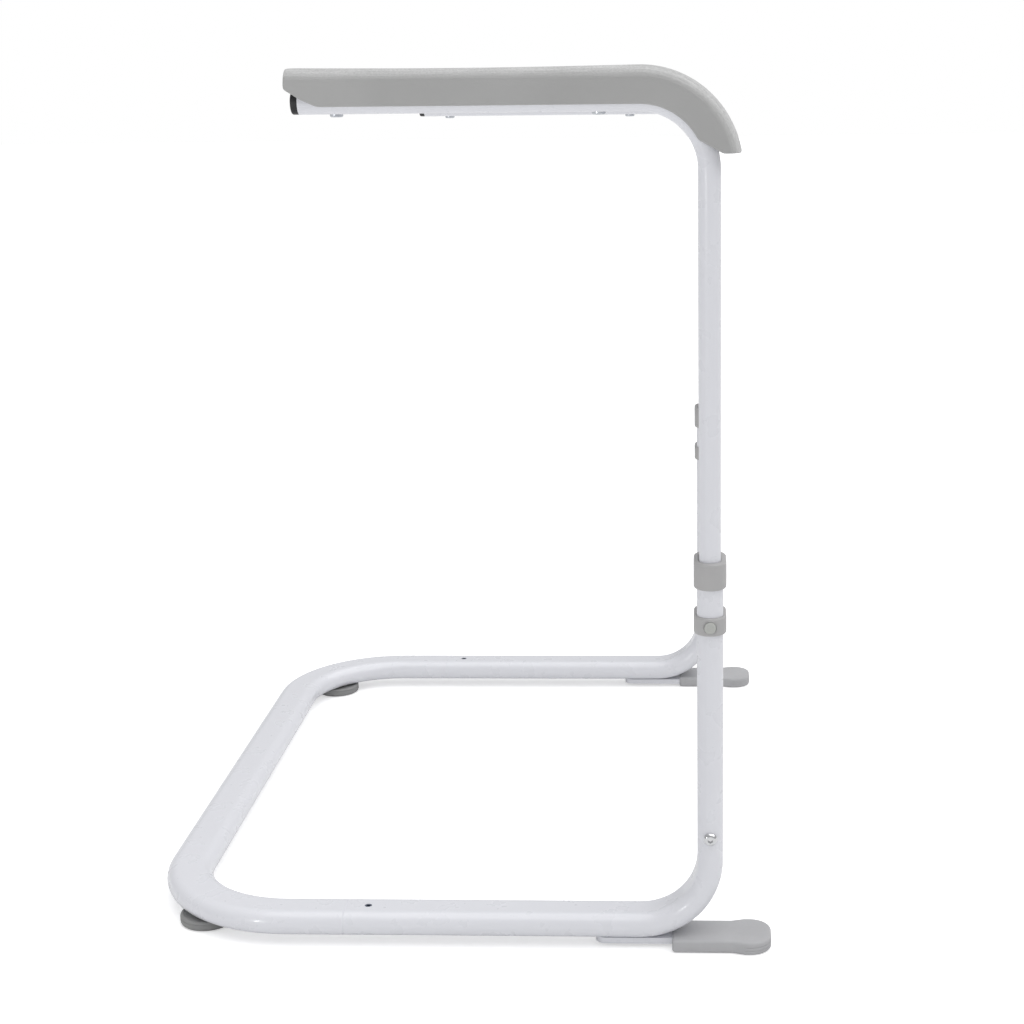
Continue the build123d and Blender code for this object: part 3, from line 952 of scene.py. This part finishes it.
# %% The arm's centreline
ARM_SLOPE = radians(-0.1)
ARM_BEND_R = 0.05
arm_low, arm_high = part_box("arm_tube_right")
BEND_TURN = radians(90) + ARM_SLOPE
TANGENT = ARM_BEND_R * tan(BEND_TURN / 2)
ALONG = Vector((cos(ARM_SLOPE), 0, sin(ARM_SLOPE)))  # towards the post
ACROSS = Vector((-sin(ARM_SLOPE), 0, cos(ARM_SLOPE)))  # up, off the tube
free_end = Vector((arm_low.x, POST[1], arm_high.z - ARM_T / 2 * cos(ARM_SLOPE)))
arm_corner = free_end + ALONG * (POST[0] - free_end.x) / ALONG.x
bend_centre = arm_corner + Vector((-ARM_BEND_R, 0, -TANGENT))
bend_start = arm_corner - ALONG * TANGENT
print("bend from", tuple(round(x, 4) for x in bend_start), "free end", tuple(round(x, 4) for x in free_end))

# %% [markdown]
# ## End cap
# A black plug closes the tube's free end. It has the tube's own outline, a rounded edge
# and a shallow panel in its face. The outline is made upright at the origin, which is
# easy to shape, and then turned onto the end of the tube.

# %% End cap
CAP_LENGTH = 0.0052
CAP_ROUND = 0.0016
CAP_PANEL = ((0.0012, 0.0), (0.0004, 0.0003), (0.002, 0.00005))
PLUG_INSET = 0.0016
PLUG_LENGTH = 0.012


def make_end_cap():
    piece = upright_oval("end_cap_right", (0, 0), ARM_T, ARM_W, 0, CAP_LENGTH)
    with shaping(piece):
        round_edges(at_height(CAP_LENGTH), CAP_ROUND, 5)
        pick("FACE", at_height(CAP_LENGTH))
        dish(CAP_PANEL, (0, 0, -1))
        pick("FACE", at_height(0))
        bpy.ops.mesh.inset(thickness=PLUG_INSET, depth=0)
        extrude((0, 0, -PLUG_LENGTH))
    piece.rotation_euler = (0, -radians(90) - ARM_SLOPE, 0)
    piece.location = free_end
    settle(piece)
    smooth(piece)
    return piece


end_cap_right = make_end_cap()
print("end cap", size_of(end_cap_right))

# %% [markdown]
# ## Arm pad
# The pad is one foam moulding over the top half of the tube. It runs along the arm,
# follows the bend and stops on the post side in a rounded tip. Its section is a block
# with round shoulders, drawn along the arm by extruding, spun round the bend and then
# trimmed. A fine and even mesh, smoothed, rounds every edge as foam skin does. A swept
# bar of the tube's own outline cuts its channel last. Foam that is moulded with a skin
# keeps the tool's exact shape, so no cloth is simulated.

# %% Draw a section along the arm
pad_low, pad_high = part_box("arm_pad_right")
PAD_W = pad_high.y - pad_low.y
PAD_TOP = ARM_T / 2 + 0.016
PAD_BELOW = 0.0028  # under the tube's centreline
PAD_OVERHANG = 0.0085
PAD_STARTS = free_end - ALONG * PAD_OVERHANG
RUN_LENGTH = (bend_start - PAD_STARTS).length
RUN_STEPS = 24
BEND_STEPS = 40


def section_card(name, top, bottom, width, start):
    """A flat card across the arm, from bottom to top over its centreline."""
    place, turn = start + ACROSS * (top + bottom) / 2, (0, radians(90) - ARM_SLOPE, 0)
    bpy.ops.mesh.primitive_plane_add(size=1, location=place, rotation=turn)
    bpy.context.object.scale = (top - bottom, width, 1)
    return start_piece(name)


def round_corners(card, test, radius):
    with shaping(card):
        pick("VERT", test)
        bpy.ops.mesh.bevel(offset=radius, segments=12, affect="VERTICES", clamp_overlap=True)


def draw_along_arm(piece, start):
    """Extrudes the card along the arm's run and spins it round the bend."""
    run = (bend_start - start).length
    with shaping(piece):
        pick_all()
        for _ in range(RUN_STEPS):
            extrude(ALONG * run / RUN_STEPS)
        bpy.ops.mesh.spin(steps=BEND_STEPS, angle=-BEND_TURN, center=bend_centre, axis=(0, 1, 0))
    face_outwards(piece)


print("pad stands", round(PAD_TOP * 1000, 1), "mm over the centreline")

# %% Pad
SHOULDER_R = 0.0115
HOLLOW = 0.0011  # the top sinks this much in the middle of the run


def over_centreline(point):
    """Height over the arm's centreline, or outside it round the bend."""
    from_centre = Vector((point.x - bend_centre.x, 0, point.z - bend_centre.z))
    if point.x < bend_start.x:
        return (point - bend_start).dot(ACROSS)
    return from_centre.length - ARM_BEND_R


def hollow_top(pad):
    """Lowers the top ring by ring, most of all in the middle of the run."""
    with shaping(pad):
        for ring in range(1, RUN_STEPS):
            place = RUN_LENGTH * ring / RUN_STEPS
            pick("VERT", lambda v: abs((v.co - PAD_STARTS).dot(ALONG) - place) < 1e-4
                 and over_centreline(v.co) > PAD_TOP / 2)
            bpy.ops.transform.translate(value=-ACROSS * HOLLOW * sin(pi * ring / RUN_STEPS))


def make_pad():
    card = section_card("arm_pad_piece_right", PAD_TOP, -PAD_BELOW, PAD_W, PAD_STARTS)
    round_corners(card, lambda v: (v.co - PAD_STARTS).dot(ACROSS) > PAD_TOP - TINY, SHOULDER_R)
    draw_along_arm(card, PAD_STARTS)
    hollow_top(card)
    return card


arm_pad_right = make_pad()
print("pad drawn", size_of(arm_pad_right))


# %% Trim the pad's ends and cut its channel
TIP_CORNER = (0.0105, -0.0004)  # from the post's middle and the pad's lowest edge
TIP_SLANT = radians(28.8)  # how the side rises behind the tip
END_SLANTS = ((0.0205, -0.003, radians(31.6)), (0.0241, -0.003, radians(22.5)))
TRIM_BLOCK = 0.06
SKIN_CELL = 0.0011
SKIN_ROUNDS = 12
CHANNEL_SLIP = 0.00015
CHANNEL_STARTS = PAD_STARTS - ALONG * 0.01


def trim_under(piece, right_end, slope):
    """Takes away what lies under a line that falls to the right and ends at a point."""
    down = Vector((cos(slope), 0, -sin(slope)))
    under = Vector((-sin(slope), 0, -cos(slope)))
    place = right_end + (under - down) * TRIM_BLOCK / 2
    bpy.ops.mesh.primitive_cube_add(size=TRIM_BLOCK, location=place, rotation=(0, slope, 0))
    combine(piece, start_piece("trim block"), "DIFFERENCE")


def trim_ends(pad):
    """Cuts the tip level, then slants the underside at both ends."""
    with shaping(pad):
        pick_all()
        bpy.ops.mesh.bisect(
            plane_co=(0, 0, pad_low.z), plane_no=(0, 0, -1), use_fill=True, clear_outer=True
        )
    tip = Vector((POST[0] + TIP_CORNER[0], POST[1], pad_low.z + TIP_CORNER[1]))
    trim_under(pad, tip, TIP_SLANT)
    for along, across, slope in END_SLANTS:
        trim_under(pad, PAD_STARTS + ALONG * along + ACROSS * across, slope - ARM_SLOPE)


def soften(pad):
    """Rounds every edge, as foam skin does: an even mesh, evened out."""
    apply_modifier(pad, "REMESH", mode="VOXEL", voxel_size=SKIN_CELL, use_smooth_shade=True)
    apply_modifier(pad, "SMOOTH", factor=0.5, iterations=SKIN_ROUNDS)


def cut_channel(pad):
    half_t = ARM_T / 2 + CHANNEL_SLIP
    room = section_card("tube room", half_t, -half_t, ARM_W + 2 * CHANNEL_SLIP, CHANNEL_STARTS)
    round_corners(room, lambda v: True, ARM_T / 2)
    draw_along_arm(room, CHANNEL_STARTS)
    combine(pad, room, "DIFFERENCE")


def note_place_on_arm(pad):
    """Writes how far along, across and over the arm each point of the skin lies."""
    places = pad.data.attributes.new("skin_place", "FLOAT_VECTOR", "POINT")
    for point, place in zip(pad.data.vertices, places.data):
        along = (point.co - PAD_STARTS).dot(ALONG)
        if point.co.x > bend_start.x:
            turn = atan2(point.co.x - bend_centre.x, point.co.z - bend_centre.z)
            along = RUN_LENGTH + ARM_BEND_R * turn
        place.vector = (along, point.co.y - POST[1], over_centreline(point.co))


trim_ends(arm_pad_right)
soften(arm_pad_right)
cut_channel(arm_pad_right)
note_place_on_arm(arm_pad_right)
smooth(arm_pad_right, 40)
print("pad", size_of(arm_pad_right), "faces", len(arm_pad_right.data.polygons))

# %% [markdown]
# ## Put the finishes on the new pieces
# Every new piece takes the finish of the CAD node that it stands for. Then each
# right-hand piece is copied across to the left, and the left arm's pieces come down with
# their arm. Every piece rides on its own body, and each spring gets a mesh of its own.

# %% Paint, copy to the left and tie every piece to its body
PIECES = (
    (top_collar_right, "top_bush", "floor_frame", "grey_plastic"),
    (lock_collar_right, "lock_collar", "floor_frame", "grey_plastic"),
    (push_button_right, "lock_button", "button", "pale_grey_plastic"),
    (spring_right, "button_spring", "floor_frame", "plain_steel"),
    (post_bolt_right, "post_bolt", "floor_frame", "chromed_steel"),
    (stop_nut_right, "stop_nut", "floor_frame", "zinc_steel"),
    (boot_right, "foot_boot", "floor_frame", "grey_rubber"),
    (disc_foot_right, "corner_foot", "floor_frame", "grey_rubber"),
    (end_cap_right, "arm_end_cap", "arm", "black_plastic"),
    (arm_pad_right, "arm_pad", "arm", "grey_pad_skin"),
)


def squash_spring(piece):
    """Gives a spring a mesh of its own; it is not flattened."""
    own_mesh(piece)


for right_piece, node_name, body_name, slot_name in PIECES:
    paint(right_piece, CAD_FINISHES[node_name])
    lower = LEFT_LOWER if body_name == "arm" else 0.0
    left_piece = mirrored_copy(right_piece, right_piece.name.replace("_right", "_left"), lower)
    for piece, side in ((right_piece, "right"), (left_piece, "left")):
        body = body_name if body_name == "floor_frame" else f"{side}_{body_name}"
        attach(piece, body)
        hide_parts(f"{node_name}_{side}")
        if node_name == "button_spring":
            squash_spring(piece)
print("tied", 2 * len(PIECES), "pieces")

# %% [markdown]
# ## Floor
# A wide white sheet lies under the feet. It is part of the stage and not of the rail.

# %% Floor
FLOOR_BELOW = 0.0002  # a hair under the feet


def make_floor():
    bpy.ops.object.select_all(action="DESELECT")
    bpy.ops.mesh.primitive_plane_add(size=FLOOR_SIZE, location=(0, 0, -FLOOR_BELOW))
    floor = bpy.context.object
    floor.name = "studio_floor"
    finish = start_finish("studio paper", 0.9, specular=0.1)
    shader = shader_of(finish)
    spread_between(finish, noise_on(finish, 0.8), (0.84, 0.84, 0.84), (0.86, 0.86, 0.86), "Base Color")
    shader.inputs["Emission Color"].default_value = (1, 1, 1, 1)
    path = add_node(finish, "ShaderNodeLightPath")
    glow = maths(finish, "MULTIPLY", path.outputs["Is Camera Ray"], FLOOR_GLOW)
    finish.node_tree.links.new(glow, shader.inputs["Emission Strength"])
    paint(floor, finish)


make_floor()
print("floor laid")
